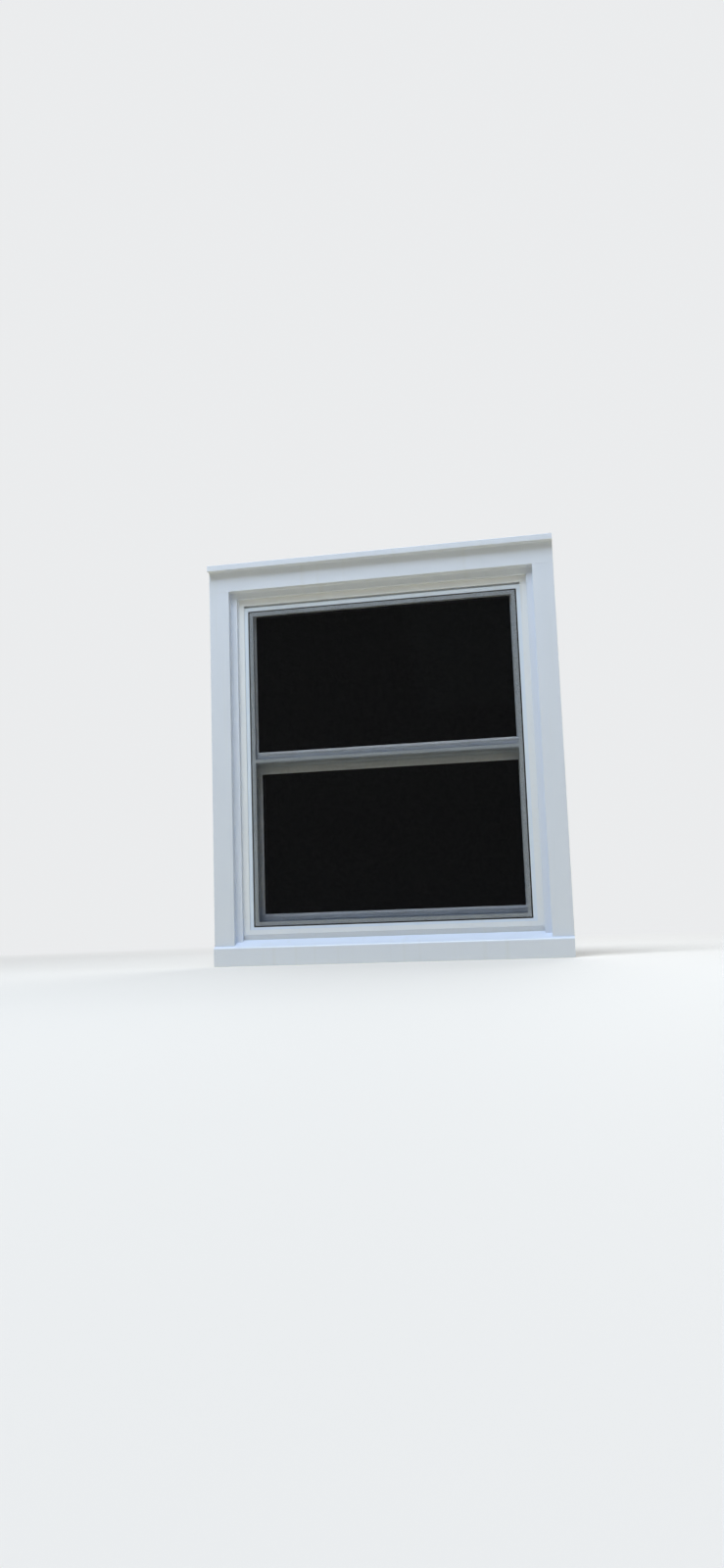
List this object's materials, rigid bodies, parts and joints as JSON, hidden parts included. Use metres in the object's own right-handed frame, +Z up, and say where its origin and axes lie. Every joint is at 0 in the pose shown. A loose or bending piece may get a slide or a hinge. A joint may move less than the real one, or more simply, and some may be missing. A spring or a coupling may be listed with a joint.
{
  "type": "sash window",
  "caption": "Vertical sliding sash window with a full insect screen, set in a wood frame with aluminium covered casing, cap and sloped sill.",
  "frame": {"origin": "middle of the sill's back bearing face, in the plane of the wall sheathing", "axes": "+X to the right seen from outside, +Y into the house, +Z up"},
  "size_m": [0.9712, 0.1536, 1.1325],
  "materials": {
    "painted_wood": "white painted pine",
    "clad": "folded white aluminium sheet",
    "vinyl": "white extruded vinyl",
    "sash_vinyl": "white extruded vinyl",
    "bead_vinyl": "white extruded vinyl",
    "screen_metal": "white painted aluminium",
    "spline": "black matt",
    "mesh": "charcoal coated glass fibre weave",
    "key_plastic": "white moulded",
    "glass": "clear float",
    "spacer": "mill finish",
    "pile": "grey wool pile",
    "steel": "zinc plated",
    "shoe_plastic": "white moulded",
    "spring_steel": "bare strip",
    "lock_metal": "white painted zinc",
    "latch_plastic": "white moulded",
    "shim_wood": "bare softwood"
  },
  "bodies": {
    "window_frame": {"head_jamb": "painted_wood", "left_jamb": "painted_wood", "right_jamb": "painted_wood", "sill_board": "painted_wood", "blind_stops": "painted_wood", "inner_stops": "painted_wood", "head_casing": "painted_wood", "left_casing": "painted_wood", "right_casing": "painted_wood", "cap_board": "painted_wood", "head_cladding": "clad", "left_cladding": "clad", "right_cladding": "clad", "sill_cladding": "clad", "cap_cladding": "clad", "unit_head": "vinyl", "unit_left_jamb": "vinyl", "unit_right_jamb": "vinyl", "unit_sill": "vinyl", "jamb_screws": "steel", "shims": "shim_wood", "balance_coils": "shoe_plastic", "screen_top_bar": "screen_metal", "screen_bottom_bar": "screen_metal", "screen_left_bar": "screen_metal", "screen_right_bar": "screen_metal", "screen_corner_keys": "key_plastic", "screen_spline": "spline", "screen_mesh": "mesh", "screen_cross_bar": "screen_metal", "upper_balance_tapes": "spring_steel", "lower_balance_tapes": "spring_steel"},
    "upper_sash": {"upper_check_rail": "sash_vinyl", "upper_left_stile": "sash_vinyl", "upper_right_stile": "sash_vinyl", "upper_glass": "glass", "upper_spacer": "spacer", "upper_glazing_beads": "bead_vinyl", "upper_weatherstrips": "pile", "upper_pivot_bars": "steel", "upper_balance_shoes": "shoe_plastic", "upper_top_rail": "sash_vinyl", "keepers": "lock_metal"},
    "lower_sash": {"lower_check_rail": "sash_vinyl", "lower_left_stile": "sash_vinyl", "lower_right_stile": "sash_vinyl", "lower_glass": "glass", "lower_spacer": "spacer", "lower_glazing_beads": "bead_vinyl", "lower_weatherstrips": "pile", "lower_pivot_bars": "steel", "lower_balance_shoes": "shoe_plastic", "lower_bottom_rail": "sash_vinyl", "lock_bases": "lock_metal"},
    "right_lock_cam": {"right_lock_cam": "lock_metal"},
    "left_lock_cam": {"left_lock_cam": "lock_metal"},
    "upper_left_latch": {"upper_left_latch": "latch_plastic"},
    "upper_right_latch": {"upper_right_latch": "latch_plastic"},
    "lower_left_latch": {"lower_left_latch": "latch_plastic"},
    "lower_right_latch": {"lower_right_latch": "latch_plastic"}
  },
  "joints": [
    {"name": "upper_sash_slide", "type": "slide", "parent": "window_frame", "child": "upper_sash", "axis": [0, 0, -1], "range_m": [0, 0.4], "deforming": ["upper_balance_tapes"]},
    {"name": "lower_sash_slide", "type": "slide", "parent": "window_frame", "child": "lower_sash", "axis": [0, 0, 1], "range_m": [0, 0.4], "deforming": ["lower_balance_tapes"]},
    {"name": "right_lock_turn", "type": "hinge", "parent": "lower_sash", "child": "right_lock_cam", "pos_m": [0.19, 0.066, 0.558], "axis": [0, 0, 1], "range_deg": [-100, 0]},
    {"name": "left_lock_turn", "type": "hinge", "parent": "lower_sash", "child": "left_lock_cam", "pos_m": [-0.19, 0.066, 0.558], "axis": [0, 0, 1], "range_deg": [0, 100]},
    {"name": "upper_left_latch_slide", "type": "slide", "parent": "upper_sash", "child": "upper_left_latch", "axis": [1, 0, 0], "range_m": [0, 0.008], "stiffness_N_per_m": 200},
    {"name": "upper_right_latch_slide", "type": "slide", "parent": "upper_sash", "child": "upper_right_latch", "axis": [-1, 0, 0], "range_m": [0, 0.008], "stiffness_N_per_m": 200},
    {"name": "lower_left_latch_slide", "type": "slide", "parent": "lower_sash", "child": "lower_left_latch", "axis": [1, 0, 0], "range_m": [0, 0.008], "stiffness_N_per_m": 200},
    {"name": "lower_right_latch_slide", "type": "slide", "parent": "lower_sash", "child": "lower_right_latch", "axis": [-1, 0, 0], "range_m": [0, 0.008], "stiffness_N_per_m": 200}
  ]
}
